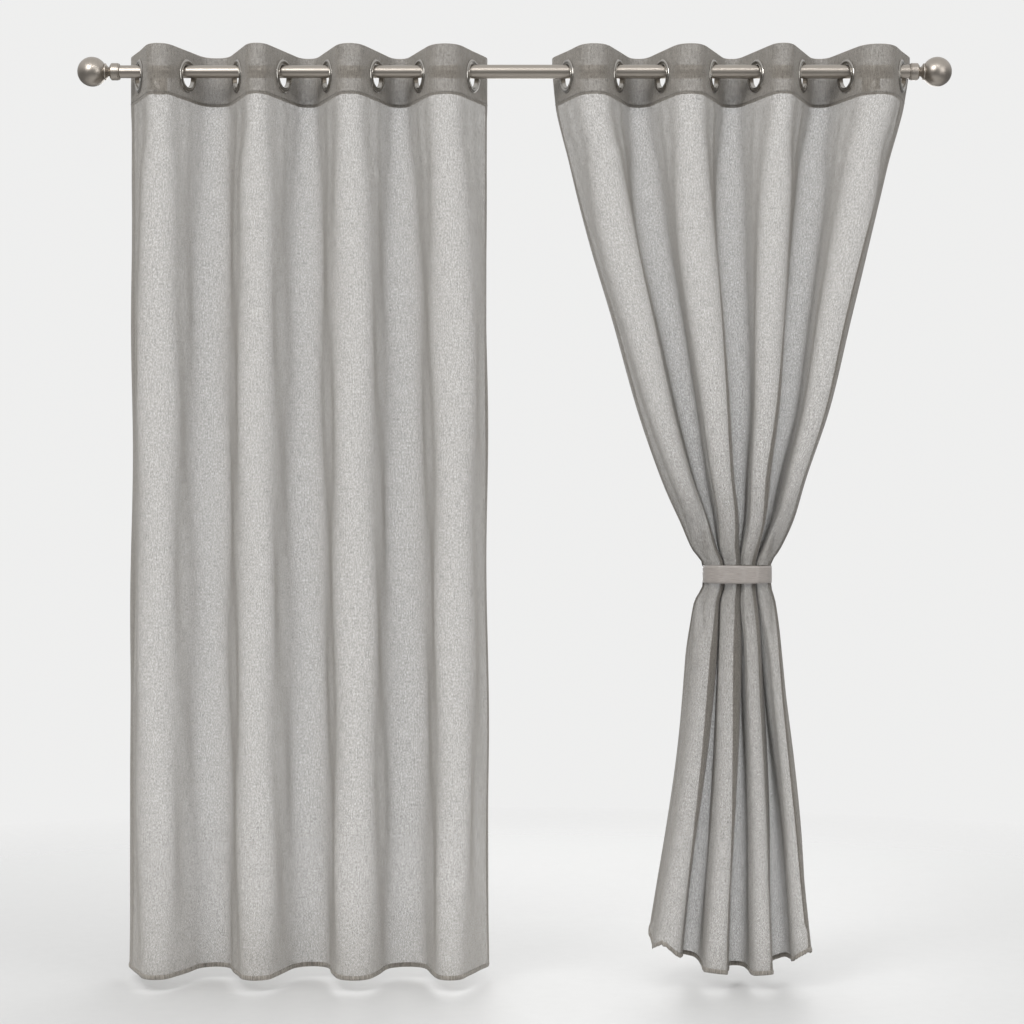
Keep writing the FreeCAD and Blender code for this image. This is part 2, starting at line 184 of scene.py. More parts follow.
def put(tree, kind, **values):
    """A node with its properties; a value named in_ and an input's name or number goes to that input."""
    made = tree.nodes.new(kind)
    for name, value in values.items():
        if name.startswith("in_"):
            wanted = name[3:]
            socket = made.inputs[int(wanted) if wanted.isdigit() else wanted.replace("_", " ")]
            connect(tree, value, socket)
        else:
            setattr(made, name, value)
    return made


def connect(tree, value, socket):
    """Links a socket or a node's first output; anything else becomes the input's own value."""
    if isinstance(value, bpy.types.NodeSocket):
        tree.links.new(value, socket)
    elif isinstance(value, bpy.types.Node):
        tree.links.new(value.outputs[0], socket)
    else:
        socket.default_value = value


def maths(tree, operation, a, b=0.0, c=0.0, clamp=False):
    made = put(tree, "ShaderNodeMath", operation=operation, use_clamp=clamp, in_0=a, in_1=b, in_2=c)
    return made.outputs[0]


def times(tree, a, b):
    return maths(tree, "MULTIPLY", a, b)


def plus(tree, a, b):
    return maths(tree, "ADD", a, b)


def minus(tree, a, b):
    return maths(tree, "SUBTRACT", a, b)


def ribs(tree, turns):
    """A row of rounded ridges, one for each unit of turns, from 0 in the grooves to 1 on top."""
    return maths(tree, "ABSOLUTE", maths(tree, "SINE", times(tree, turns, math.pi)))


def scaled(tree, place, factors):
    made = put(tree, "ShaderNodeVectorMath", operation="MULTIPLY", in_0=place, in_1=factors)
    return made.outputs[0]


def noise(tree, place, scale=1.0, detail=2.0, rough=0.5):
    made = put(tree, "ShaderNodeTexNoise", in_Vector=place, in_Scale=scale, in_Detail=detail,
               in_Roughness=rough)
    return made.outputs["Fac"]


def spread_between(tree, value, low, high, to_low=0.0, to_high=1.0):
    made = put(tree, "ShaderNodeMapRange", in_0=value, in_1=low, in_2=high, in_3=to_low, in_4=to_high)
    return made.outputs[0]


def blend_colours(tree, factor, a, b):
    made = tree.nodes.new("ShaderNodeMix")
    made.data_type = "RGBA"
    for value, socket in ((factor, made.inputs[0]), (a, made.inputs[6]), (b, made.inputs[7])):
        connect(tree, value, socket)
    return made.outputs[2]


def new_group(name, inputs, outputs):
    """A shader node group with named sockets, and its input and output nodes."""
    group = bpy.data.node_groups.new(name, "ShaderNodeTree")
    add_socket = group.interface.new_socket
    for label, kind, default in inputs:
        socket = add_socket(name=label, in_out="INPUT", socket_type="NodeSocket" + kind)
        if default is not None:
            socket.default_value = default
    for label, kind in outputs:
        add_socket(name=label, in_out="OUTPUT", socket_type="NodeSocket" + kind)
    return group, group.nodes.new("NodeGroupInput"), group.nodes.new("NodeGroupOutput")


def fill(tree, node, **values):
    """Gives a node's inputs their links and values, by name."""
    for name, value in values.items():
        connect(tree, value, node.inputs[name.replace("_", " ")])
    return node


def use_group(tree, group, **values):
    made = tree.nodes.new("ShaderNodeGroup")
    made.node_tree = group
    return fill(tree, made, **values)


def object_place(tree):
    return put(tree, "ShaderNodeTexCoord").outputs["Object"]


def cloth_place(tree):
    """Where a point lies on the flat cloth."""
    return put(tree, "ShaderNodeUVMap", uv_map="cloth").outputs[0]


def new_material(name):
    material = bpy.data.materials.new(name)
    material.use_nodes = True
    shader = material.node_tree.nodes["Principled BSDF"]
    return material, material.node_tree, shader


def toned(colour, share):
    """A colour made darker or lighter, with its alpha."""
    return (*[min(1, share * c) for c in colour], 1)


def shared(name, make):
    return bpy.data.node_groups.get(name) or make(name)


def same_material(name, make, *values):
    return bpy.data.materials.get(name) or make(name, *values)


# ---------------------------------------------------------------- finishes

def heather_weave(name):
    """Light and dark threads woven in a twill, with slubs down the cloth and soft mottling."""
    group, start, end = new_group(
        name,
        [("Place", "Vector", None), ("Pitch", "Float", 0.0007), ("Light", "Color", (0.5, 0.5, 0.5, 1)),
         ("Dark", "Color", (0.2, 0.2, 0.2, 1)), ("Cover", "Float", 0.6)],
        [("Colour", "Color"), ("Cover", "Float"), ("Height", "Float")])
    place, pitch = start.outputs["Place"], start.outputs["Pitch"]
    parts = put(group, "ShaderNodeSeparateXYZ", in_0=place)
    across = maths(group, "DIVIDE", parts.outputs[0], pitch)
    down = maths(group, "DIVIDE", parts.outputs[1], pitch)
    warp, weft = ribs(group, across), ribs(group, down)
    diagonal = maths(group, "FRACT", maths(group, "DIVIDE", plus(group, across, down), 3.0))
    warp_on_top = maths(group, "GREATER_THAN", diagonal, 0.42)
    weft_on_top = minus(group, 1.0, warp_on_top)
    height = plus(group, times(group, warp, warp_on_top), times(group, weft, weft_on_top))
    warp_tone = noise(group, scaled(group, place, (1100, 60, 1)), detail=3.0, rough=0.7)
    weft_tone = noise(group, scaled(group, place, (70, 1100, 1)), detail=3.0, rough=0.7)
    slub = noise(group, scaled(group, place, (560, 40, 1)), detail=3.0, rough=0.6)
    mottle = noise(group, scaled(group, place, (520, 240, 1)), detail=3.0, rough=0.65)
    thread_tone = plus(group, times(group, warp_tone, warp_on_top), times(group, weft_tone, weft_on_top))
    fine_tone = times(group, spread_between(group, thread_tone, 0.36, 0.64), 0.36)
    slub_tone = times(group, spread_between(group, slub, 0.40, 0.60), 0.22)
    mottle_tone = times(group, spread_between(group, mottle, 0.40, 0.62), 0.42)
    tone = maths(group, "ADD", plus(group, fine_tone, slub_tone), mottle_tone, clamp=True)
    colour = blend_colours(group, tone, start.outputs["Dark"], start.outputs["Light"])
    gaps = times(group, minus(group, height, 0.64), 0.30)
    uneven = times(group, minus(group, slub, 0.5), -0.40)
    patches = times(group, minus(group, mottle, 0.5), -0.95)
    cover = plus(group, start.outputs["Cover"], plus(group, gaps, plus(group, uneven, patches)))
    cover = maths(group, "MINIMUM", maths(group, "MAXIMUM", cover, 0.05), 0.99)
    fill(group, end, Colour=colour, Cover=cover, Height=height)
    return group


def crinkle(name):
    """Fine upright wrinkles of a crisp voile, as a height."""
    group, start, end = new_group(name, [("Place", "Vector", None)], [("Height", "Float")])
    place = start.outputs["Place"]
    fine = noise(group, scaled(group, place, (520, 150, 1)), detail=3.0, rough=0.65)
    long = noise(group, scaled(group, place, (90, 16, 1)), detail=2.0, rough=0.5)
    fill(group, end, Height=plus(group, times(group, fine, 0.7), times(group, long, 0.9)))
    return group


def brushed(name):
    """Fine lines that run where the place is stretched, as a mask and a height."""
    group, start, end = new_group(
        name, [("Place", "Vector", None), ("Wear", "Float", 0.5)],
        [("Lines", "Float"), ("Smudge", "Float")])
    lines = noise(group, start.outputs["Place"], detail=4.0, rough=0.7)
    smudge = noise(group, scaled(group, start.outputs["Place"], (0.05, 0.05, 0.05)), detail=3.0)
    lines = spread_between(group, lines, 0.3, 0.7)
    smudge = times(group, spread_between(group, smudge, 0.35, 0.65), start.outputs["Wear"])
    fill(group, end, Lines=lines, Smudge=smudge)
    return group


def woven(tree, place, settings, cover):
    return use_group(
        tree, shared("heather weave", heather_weave), Place=place, Pitch=settings.thread_pitch,
        Light=(*settings.light_thread, 1), Dark=(*settings.dark_thread, 1), Cover=cover)


def cloth_material(name, settings, cover, sheen):
    """Open heather cloth: thread by thread it hides more of what is behind it as it turns away, and its
    colour carries painted shade where it is gathered.
    """
    material, tree, shader = new_material(name)
    place = cloth_place(tree)
    weave = woven(tree, place, settings, cover)
    wrinkles = use_group(tree, shared("crinkle", crinkle), Place=place)
    facing = put(tree, "ShaderNodeLayerWeight", in_Blend=0.5).outputs["Facing"]
    slant = maths(tree, "POWER", maths(tree, "MAXIMUM", minus(tree, 1.0, facing), 0.05), 0.72)
    gather = put(tree, "ShaderNodeAttribute", attribute_name="gather").outputs["Fac"]
    layers = maths(tree, "DIVIDE", 1.0, times(tree, slant, gather))
    open_share = minus(tree, 1.0, weave.outputs["Cover"])
    alpha = minus(tree, 1.0, maths(tree, "POWER", open_share, layers))
    coarse = put(tree, "ShaderNodeBump", in_Strength=0.75, in_Distance=0.0017,
                 in_Height=wrinkles.outputs["Height"])
    fine = put(tree, "ShaderNodeBump", in_Strength=0.5, in_Distance=0.0003,
               in_Height=weave.outputs["Height"], in_Normal=coarse.outputs[0])
    # Painted shade: the colour darkens where the cloth is gathered, standing in for the shade that fine
    # pleats cast on each other.
    pleat_shade = spread_between(tree, gather, 0.4, 1.0, 0.62, 1.0)
    shade = blend_colours(tree, pleat_shade, (0, 0, 0, 1), weave.outputs["Colour"])
    fill(tree, shader, Base_Color=shade, Alpha=alpha, Normal=fine, Roughness=0.78,
         Sheen_Weight=sheen, Sheen_Roughness=0.35)
    return material


def hem_material(name, settings):
    """Rolled cloth wrapped in overlock thread, solid, with painted shade in the grooves between the wraps.
    """
    material, tree, shader = new_material(name)
    place = cloth_place(tree)
    weave = woven(tree, place, settings, 0.95)
    parts = put(tree, "ShaderNodeSeparateXYZ", in_0=place)
    slanting = plus(tree, parts.outputs[0], parts.outputs[1])
    wrap = ribs(tree, maths(tree, "DIVIDE", slanting, settings.stitch_pitch))
    # Painted shade: the grooves between the overlock wraps are coloured dark, standing in for the shade
    # that falls in them.
    groove_shade = spread_between(tree, wrap, 0.0, 0.45)
    colour = blend_colours(tree, groove_shade, (0.13, 0.125, 0.118, 1), weave.outputs["Colour"])
    bump = put(tree, "ShaderNodeBump", in_Strength=0.6, in_Distance=0.0005, in_Height=wrap)
    fill(tree, shader, Base_Color=colour, Normal=bump, Roughness=0.8, Sheen_Weight=0.2)
    return material


def thread_material(name, colour):
    """Spun sewing thread."""
    material, tree, shader = new_material(name)
    fuzz = noise(tree, object_place(tree), scale=900.0, detail=3.0)
    shade = blend_colours(tree, fuzz, toned(colour, 0.6), toned(colour, 1.0))
    bump = put(tree, "ShaderNodeBump", in_Strength=0.4, in_Distance=0.0002, in_Height=fuzz)
    fill(tree, shader, Base_Color=shade, Normal=bump, Roughness=0.6, Sheen_Weight=0.3)
    return material


def satin_material(name, colour):
    """Satin ribbon: long glossy threads lying along the strap, with painted sheen as brighter and darker
    streaks in its colour.
    """
    material, tree, shader = new_material(name)
    place = cloth_place(tree)
    float_relief_and_sheen = noise(tree, scaled(tree, place, (55, 1500, 1)), detail=4.0, rough=0.7)
    broad = noise(tree, scaled(tree, place, (28, 320, 1)), detail=3.0, rough=0.6)
    # Painted sheen: the colour runs darker and brighter in streaks along the strap, standing in for the
    # satin's sheen.
    shade = blend_colours(tree, spread_between(tree, float_relief_and_sheen, 0.3, 0.7),
                          toned(colour, 0.72), toned(colour, 1.25))
    gloss = spread_between(tree, broad, 0.3, 0.7, 0.24, 0.46)
    bump = put(tree, "ShaderNodeBump", in_Strength=0.5, in_Distance=0.0005,
               in_Height=plus(tree, float_relief_and_sheen, times(tree, broad, 2.0)))
    fill(tree, shader, Base_Color=shade, Roughness=gloss, Normal=bump, Sheen_Weight=0.25,
         Specular_IOR_Level=0.8)
    return material


def nickel_material(name, colour, stretch, rough, bump_strength):
    """Brushed or turned nickel; the stretch says which way its lines run."""
    material, tree, shader = new_material(name)
    place = scaled(tree, object_place(tree), stretch)
    marks = use_group(tree, shared("brushed", brushed), Place=place, Wear=0.6)
    lines = marks.outputs["Lines"]
    shade = blend_colours(tree, lines, toned(colour, 0.93), toned(colour, 1.05))
    gloss = plus(tree, spread_between(tree, lines, 0, 1, rough - 0.05, rough + 0.05),
                 times(tree, marks.outputs["Smudge"], 0.08))
    bump = put(tree, "ShaderNodeBump", in_Strength=bump_strength, in_Distance=0.00008, in_Height=lines)
    fill(tree, shader, Base_Color=shade, Roughness=gloss, Normal=bump, Metallic=1.0)
    return material


def plastic_material(name):
    """Moulded black plastic with a fine grain."""
    material, tree, shader = new_material(name)
    grain = noise(tree, object_place(tree), scale=1500.0, detail=2.0)
    shade = blend_colours(tree, grain, (0.012, 0.012, 0.013, 1), (0.03, 0.03, 0.032, 1))
    bump = put(tree, "ShaderNodeBump", in_Strength=0.25, in_Distance=0.0001, in_Height=grain)
    fill(tree, shader, Base_Color=shade, Normal=bump, Roughness=0.55)
    return material


# ---------------------------------------------------------------- how a panel hangs

HEADER_ANGLE = math.radians(68)
EDGE_STRAIGHT = 0.055
EDGE_CURL_R = 0.036
EDGE_CURL = math.radians(44)
LEVEL_STEP = 0.008
LEAST_CREST_R = 0.0010
FINE_SAMPLES = 1201
ROUNDING = 0.046
LEAST_FLANK_ANGLE, MOST_FLANK_ANGLE = math.radians(35), math.radians(110)
ANGLE_HALVINGS = 40

# Stations down a panel: height, left edge, right edge, share of the cloth's width that the section
# keeps, and the radius of its front and its back crests as a share of the folds' mean pitch.
TIED_STATIONS = (
    (TOP_Z, 0.0690, 0.6940, 1.0, 0.25, 0.25),
    (-0.050, 0.0765, 0.6800, 1.0, 0.25, 0.25),
    (-0.141, 0.0976, 0.6580, 1.0, 0.36, 0.36),
    (-0.295, 0.1380, 0.6185, 1.0, 0.46, 0.46),
    (-0.427, 0.1780, 0.5860, 0.97, 0.48, 0.47),
    (-0.578, 0.2210, 0.5510, 0.90, 0.48, 0.46),
    (-0.701, 0.2630, 0.5095, 0.76, 0.50, 0.36),
    (-0.774, 0.2920, 0.4860, 0.62, 0.60, 0.20),
    (-0.830, 0.3130, 0.4575, 0.50, 0.80, 0.10),
    (-0.855, 0.3302, 0.4418, 0.43, 0.93, 0.07),
    (-0.889, 0.3302, 0.4418, 0.43, 0.93, 0.07),
    (-0.920, 0.3160, 0.4500, 0.47, 0.90, 0.08),
    (-0.986, 0.3080, 0.4605, 0.56, 0.82, 0.12),
    (-1.090, 0.2980, 0.4710, 0.64, 0.70, 0.20),
    (-1.194, 0.2870, 0.4830, 0.70, 0.60, 0.32),
    (-1.324, 0.2690, 0.4970, 0.75, 0.52, 0.42),
    (-1.428, 0.2530, 0.5060, 0.77, 0.48, 0.46),
    (-1.532, 0.2380, 0.5160, 0.78, 0.47, 0.47),
    (-1.700, 0.2160, 0.5330, 0.78, 0.47, 0.47),
)

# The left panel hangs from its grommets, so its edges follow them.
PANELS = {
    "left": {
        "stations": ((TOP_Z, None, None, 1.0, 0.25, 0.25), (-0.050, None, None, 1.0, 0.25, 0.25),
                     (-0.180, None, None, 1.0, 0.36, 0.34), (-0.420, None, None, 1.0, 0.43, 0.41),
                     (-1.200, None, None, 1.0, 0.42, 0.41), (-1.7, None, None, 1.0, 0.36, 0.36)),
        "hem_gaps": (0.0870, 0.0850, 0.0800, 0.0800, 0.0850, 0.0880, 0.0710),
        "tied": False, "seed": 5,
    },
    "right": {
        "stations": TIED_STATIONS,
        "hem_gaps": (0.1180, 0.0680, 0.0920, 0.0700, 0.0860, 0.0720, 0.0720),
        "tied": True, "seed": 11,
    },
}


def smooth(value, start, end):
    share = np.clip((np.asarray(value, float) - start) / (end - start), 0, 1)
    return share * share * (3 - 2 * share)


def smooth_between(heights, values, at):
    """Monotone cubic through the stations, so that nothing overshoots."""
    heights, values = np.array(heights)[::-1], np.array(values, float)[::-1]
    slopes = np.diff(values) / np.diff(heights)
    tangents = np.zeros_like(values)
    for i in range(1, len(values) - 1):
        if slopes[i - 1] * slopes[i] > 0:
            tangents[i] = 2 / (1 / slopes[i - 1] + 1 / slopes[i])
    i = np.clip(np.searchsorted(heights, at) - 1, 0, len(values) - 2)
    wide = heights[i + 1] - heights[i]
    t = np.clip((at - heights[i]) / wide, 0, 1)
    return ((1 + 2 * t) * (1 - t) ** 2 * values[i] + t * (1 - t) ** 2 * wide * tangents[i]
            + t * t * (3 - 2 * t) * values[i + 1] + t * t * (t - 1) * wide * tangents[i + 1])


def station_value(panel, column, height, default=None):
    rows = PANELS[panel]["stations"]
    values = [default if row[column] is None else row[column] for row in rows]
    return smooth_between([row[0] for row in rows], values, height)


def fold_widths(half, radii, angle):
    """How wide each fold is along the rod, from the middle of one flank to the middle of the next."""
    return 2 * half * math.cos(angle) + 2 * radii * math.sin(angle)


def edge_reach(angle):
    """How far an edge of the cloth reaches past its grommet."""
    return EDGE_STRAIGHT * math.cos(angle) + EDGE_CURL_R * (1 - math.sin(angle))


def flank_angle(width, radii, cloth):
    """The angle to the rod at which the folds and the edges together are as wide as the section."""
    low, high = LEAST_FLANK_ANGLE, MOST_FLANK_ANGLE
    for _ in range(ANGLE_HALVINGS):
        angle = (low + high) / 2
        half = (FOLD * cloth - 2 * angle * radii) / 2
        if np.sum(fold_widths(half, radii, angle)) + 2 * cloth * edge_reach(angle) > width:
            low = angle
        else:
            high = angle
    return angle


def soften(headings, samples):
    """Rounds off the turns between crests and flanks over so many samples."""
    window = np.hanning(samples + 2)[1:-1]
    before, after = samples // 2, samples - 1 - samples // 2
    padded = np.concatenate([np.full(before, headings[0]), headings, np.full(after, headings[-1])])
    return np.convolve(padded, window / window.sum(), mode="valid")


def section(panel, height, across):
    """Plan points and headings of one level, at the flat distances across."""
    xs = np.array(GROMMET_X[panel])
    header_reach = edge_reach(HEADER_ANGLE)
    left = station_value(panel, 1, height, xs[0] - header_reach)
    right = station_value(panel, 2, height, xs[-1] + header_reach)
    cloth = station_value(panel, 3, height)
    drift = smooth(-height, -HEADER_Z, -HEM_Z)
    gaps = (1 - drift) * np.diff(xs) + drift * np.array(PANELS[panel]["hem_gaps"])
    pitches = gaps * (right - left) / (xs[-1] - xs[0] + 2 * header_reach)
    share = np.array([station_value(panel, 4 if i % 2 == 0 else 5, height) for i in range(len(gaps))])
    turned = 2 * (math.sin(HEADER_ANGLE) - HEADER_ANGLE * math.cos(HEADER_ANGLE))
    even = (gaps - FOLD * math.cos(HEADER_ANGLE)) / turned
    free = float(smooth(-height, -HEADER_Z, 0.20))
    radii = np.maximum((1 - free) * even + free * share * pitches, LEAST_CREST_R)
    angle = flank_angle(right - left, radii, cloth)
    half = (FOLD * cloth - 2 * angle * radii) / 2
    lengths = [EDGE_CURL_R * EDGE_CURL * cloth, EDGE_STRAIGHT * cloth]
    turns = [EDGE_CURL, 0.0]
    for i, radius in enumerate(radii):
        lengths += [half[i], 2 * angle * radius, half[i]]
        turns += [0.0, 2 * angle if i % 2 == 0 else -2 * angle, 0.0]
    lengths += [EDGE_STRAIGHT * cloth, EDGE_CURL_R * EDGE_CURL * cloth]
    turns += [0.0, EDGE_CURL]
    starts = np.concatenate([[0], np.cumsum(lengths)])
    headings = np.concatenate([[0], np.cumsum(turns)]) - angle - EDGE_CURL
    fine = np.linspace(0, PANEL_WIDE, FINE_SAMPLES)
    scale = starts[-1] / PANEL_WIDE
    heading = np.interp(fine * scale, starts, headings)
    heading = soften(heading, int(ROUNDING / PANEL_WIDE * FINE_SAMPLES))
    step = scale * PANEL_WIDE / (FINE_SAMPLES - 1)
    x = np.concatenate([[0], np.cumsum(np.cos((heading[1:] + heading[:-1]) / 2))]) * step
    y = np.concatenate([[0], np.cumsum(np.sin((heading[1:] + heading[:-1]) / 2))]) * step
    nodes = FOLD * (np.arange(GROMMETS) + 0.5)
    at_nodes = np.interp(nodes, fine, x)
    folds, reach = fold_widths(half, radii, angle), cloth * edge_reach(angle)
    wanted = left + reach + np.concatenate([[0], np.cumsum(folds)])
    held = 1 - float(smooth(-height, -HEADER_Z - 0.02, 0.16))
    wanted = (1 - held) * wanted + held * xs
    pull = np.interp(fine, np.concatenate([[0], nodes, [PANEL_WIDE]]),
                     np.concatenate([[left - x[0]], wanted - at_nodes, [right - x[-1]]]))
    x = x + pull
    y = y - np.interp(fine, nodes, np.interp(nodes, fine, y))
    return np.interp(across, fine, x), np.interp(across, fine, y), np.interp(across, fine, heading)


WAVES = ((0.46, 1.9), (0.27, 1.1), (0.17, 0.8), (0.12, 0.55), (0.083, 0.42))
PULL_WIDE, PULL_OUT = 0.016, 0.0011
PLEAT_OUT, PLEATS_IN_A_FOLD = 0.0006, 5
STRAP_SQUARENESS = 2.6


def stray(panel, across, height, amount):
    """How far the cloth strays along its normal: slow waves, and short pulls below the grommets."""
    random = np.random.default_rng(PANELS[panel]["seed"])
    free = smooth(-height, -HEADER_Z + 0.02, 0.42)
    total = np.zeros_like(across)
    for wide, tall in WAVES:
        phase, lean = random.uniform(0, 2 * math.pi), random.uniform(-1, 1)
        total += math.sqrt(wide) * np.sin(2 * math.pi * (across / wide + lean * height / tall) + phase)
    pulled = np.zeros_like(across)
    below = max(0.0, HEADER_Z - height)
    for n in range(GROMMETS):
        off = (across - FOLD * (n + 0.5)) / PULL_WIDE
        pulled += np.cos(off * 1.6) * np.exp(-off * off / 3)
    fade = smooth(below, 0.0, 0.015) * (1 - smooth(below, 0.05, 0.30))
    return amount * free * total + PULL_OUT * fade * pulled


def pinch(height):
    """How strongly the tieback gathers the cloth at a height, from 0 to 1."""
    off = abs(height - TIE_Z)
    return float(1 - smooth(off, 0.012, 0.150))


def gathered(x, y, heading, height, across):
    """Rounds the bundle off inside the strap and lays fine pleats in it."""
    hold = pinch(height)
    fine = float(1 - smooth(abs(height - TIE_Z), 0.05, 0.36))
    waver = 2.6 * np.sin(across * 31)
    ripple = PLEAT_OUT * fine * np.sin(2 * math.pi * across / (FOLD / PLEATS_IN_A_FOLD) + waver)
    x = x + ripple * np.sin(heading)
    y = y - ripple * np.cos(heading)
    half_wide = (TIE_HIGH[0] - TIE_LOW[0]) / 2 - 0.001
    sideways = np.clip(np.abs(x - TIE_X) / half_wide, 0, 0.999)
    oval = (1 - sideways ** STRAP_SQUARENESS) ** (1 / STRAP_SQUARENESS)
    return x, y * (1 - hold * (1 - oval))


def hang(panel, across, down, amount):
    """Points of the hanging cloth on a grid of flat places, and its front normals there.

    The levels go on past the hem, and each column of cloth ends where its own length is used up.
    """
    levels = np.arange(TOP_Z, HEM_Z - 0.08, -LEVEL_STEP)
    points = np.zeros((len(levels), len(across), 3))
    for k, height in enumerate(levels):
        x, y, heading = section(panel, height, across)
        out = stray(panel, across, height, amount)
        if PANELS[panel]["tied"]:
            out = out * (1 - pinch(height))
        x, y = x + out * np.sin(heading), y - out * np.cos(heading)
        if PANELS[panel]["tied"]:
            x, y = gathered(x, y, heading, height, across)
        points[k, :, 0], points[k, :, 1], points[k, :, 2] = x, ROD_Y + y, height
    steps = np.linalg.norm(np.diff(points, axis=0), axis=2)
    fallen = np.vstack([np.zeros(len(across)), np.cumsum(steps, axis=0)])
    grid = np.zeros((len(down), len(across), 3))
    for i in range(len(across)):
        for axis in range(3):
            grid[:, i, axis] = np.interp(down, fallen[:, i], points[:, i, axis])
    sideways, downwards = np.gradient(grid, axis=1), np.gradient(grid, axis=0)
    normals = np.cross(downwards, sideways)
    normals /= np.linalg.norm(normals, axis=2, keepdims=True) + 1e-12
    return grid, normals


class Drape:
    """A panel's hanging shape, looked up by flat place and distance out of the cloth's front."""

    def __init__(self, panel, settings):
        self.panel = panel
        columns = int(round(PANEL_WIDE / settings.cell))
        self.across = np.linspace(0, PANEL_WIDE, columns + 1)
        header = np.linspace(0, HEADER_DEEP, HEADER_ROWS)
        below = np.arange(HEADER_DEEP + 0.006, PANEL_LONG, ROW_BELOW)
        self.down = np.concatenate([header, below, [PANEL_LONG]])
        self.points, self.normals = hang(panel, self.across, self.down, settings.unevenness)

    def at(self, across, down, out, rise=0.0):
        across, down, out, rise = np.broadcast_arrays(across, down, out, rise)
        i = np.clip(np.searchsorted(self.down, down, side="right") - 1, 0, len(self.down) - 2)
        j = np.clip(np.searchsorted(self.across, across, side="right") - 1, 0, len(self.across) - 2)
        v = np.clip((down - self.down[i]) / (self.down[i + 1] - self.down[i]), 0, 1)[..., None]
        u = np.clip((across - self.across[j]) / (self.across[j + 1] - self.across[j]), 0, 1)[..., None]

        def mix(table):
            upper = (1 - u) * table[i, j] + u * table[i, j + 1]
            lower = (1 - u) * table[i + 1, j] + u * table[i + 1, j + 1]
            return (1 - v) * upper + v * lower

        lift = np.stack([np.zeros_like(rise), np.zeros_like(rise), rise], axis=-1)
        return mix(self.points) + mix(self.normals) * out[..., None] + lift


# ---------------------------------------------------------------- mesh helpers

def new_piece(name, points, faces, places=None, material=None, gather=None):
    """A mesh object at the origin, with a flat-cloth UV map where places are given.

    Gather is the share of the cloth's own width that the mesh has at each point: the rest is in
    pleats too fine to model, which make the cloth denser.
    """
    mesh = bpy.data.meshes.new(name)
    mesh.from_pydata([tuple(p) for p in points], [], [tuple(f) for f in faces])
    if places is not None:
        layer = mesh.uv_layers.new(name="cloth")
        corners = np.zeros(len(mesh.loops), np.int32)
        mesh.loops.foreach_get("vertex_index", corners)
        layer.data.foreach_set("uv", np.asarray(places, np.float32)[corners].ravel())
    if gather is not None:
        shares = mesh.attributes.new("gather", "FLOAT", "POINT")
        shares.data.foreach_set("value", np.asarray(gather, np.float32))
    mesh.polygons.foreach_set("use_smooth", [True] * len(mesh.polygons))
    mesh.update()
    piece = bpy.data.objects.new(name, mesh)
    bpy.context.scene.collection.objects.link(piece)
    if material is not None:
        piece.data.materials.append(material)
    return piece


def grid_faces(rows, columns, keep=None, closed_rows=False, closed_columns=False):
    """Quads of a grid of points: down a column first, so that a panel's faces look forward."""
    faces = []
    for r in range(rows if closed_rows else rows - 1):
        row, below = r * columns, (r + 1) % rows * columns
        for c in range(columns if closed_columns else columns - 1):
            if keep is None or keep[r, c]:
                beside = (c + 1) % columns
                faces.append((row + c, below + c, below + beside, row + beside))
    return faces


def in_a_grommet(across, down, radius):
    nearest = (np.floor(across / FOLD) + 0.5) * FOLD
    return np.hypot(across - nearest, down - (TOP_Z - GROMMET_Z)) < radius


def cell_middles(values):
    return (values[1:] + values[:-1]) / 2


def drop_loose(points, faces, *extra):
    """Only the points that faces use."""
    used = np.unique(np.array(faces).ravel())
    renumber = -np.ones(len(points), int)
    renumber[used] = np.arange(len(used))
    return points[used], [tuple(renumber[list(f)]) for f in faces], *[values[used] for values in extra]


def follow_curtain(piece):
    """The piece hangs from the rod, on a mesh of its own."""
    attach(piece, "rod")
    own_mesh(piece)


# The two layers of the header lie this far out from the middle of the panel, front and back.
LAYER_OUT = 0.0012
TURNED_UNDER = 0.006
HEADER_ROWS = 26
ROW_BELOW = 0.0112
BOTTOM_HEM_HALF_THICK = 0.0013
SIDE_HEM_HALF_THICK = 0.0016
HOLE_R = 0.0245
STITCH_CLEAR_R = 0.030
STITCH_MARGIN = 0.006
SEAM_UP = 0.004


def between_side_hems(drape, settings):
    """The grid's places across, ending inside the side hems' rolls."""
    across = drape.across.copy()
    across[0], across[-1] = settings.side_hem * 0.5, PANEL_WIDE - settings.side_hem * 0.5
    return across


def make_cloth(side, drape, settings, material):
    """The panel's one sheet of cloth, holed at the grommets."""
    last = np.searchsorted(drape.down, PANEL_LONG - settings.hem_height * 0.6)
    down = np.concatenate([drape.down[:last], [PANEL_LONG - settings.hem_height * 0.5]])
    across = between_side_hems(drape, settings)
    a, d = np.meshgrid(across, down)
    out = LAYER_OUT * (1 - smooth(d, HEADER_DEEP, HEADER_DEEP + 0.04))
    points = drape.at(a, d, out).reshape(-1, 3)
    middle_a, middle_d = np.meshgrid(cell_middles(across), cell_middles(down))
    faces = grid_faces(len(down), len(across), keep=~in_a_grommet(middle_a, middle_d, HOLE_R))
    places = np.stack([a, PANEL_LONG - d], axis=-1).reshape(-1, 2)
    gather = station_value(side, 3, TOP_Z - d.ravel())
    points, faces, places, gather = drop_loose(points, faces, places, gather)
    piece = new_piece(side + "_curtain_cloth", points, faces, places, material, gather)
    return piece


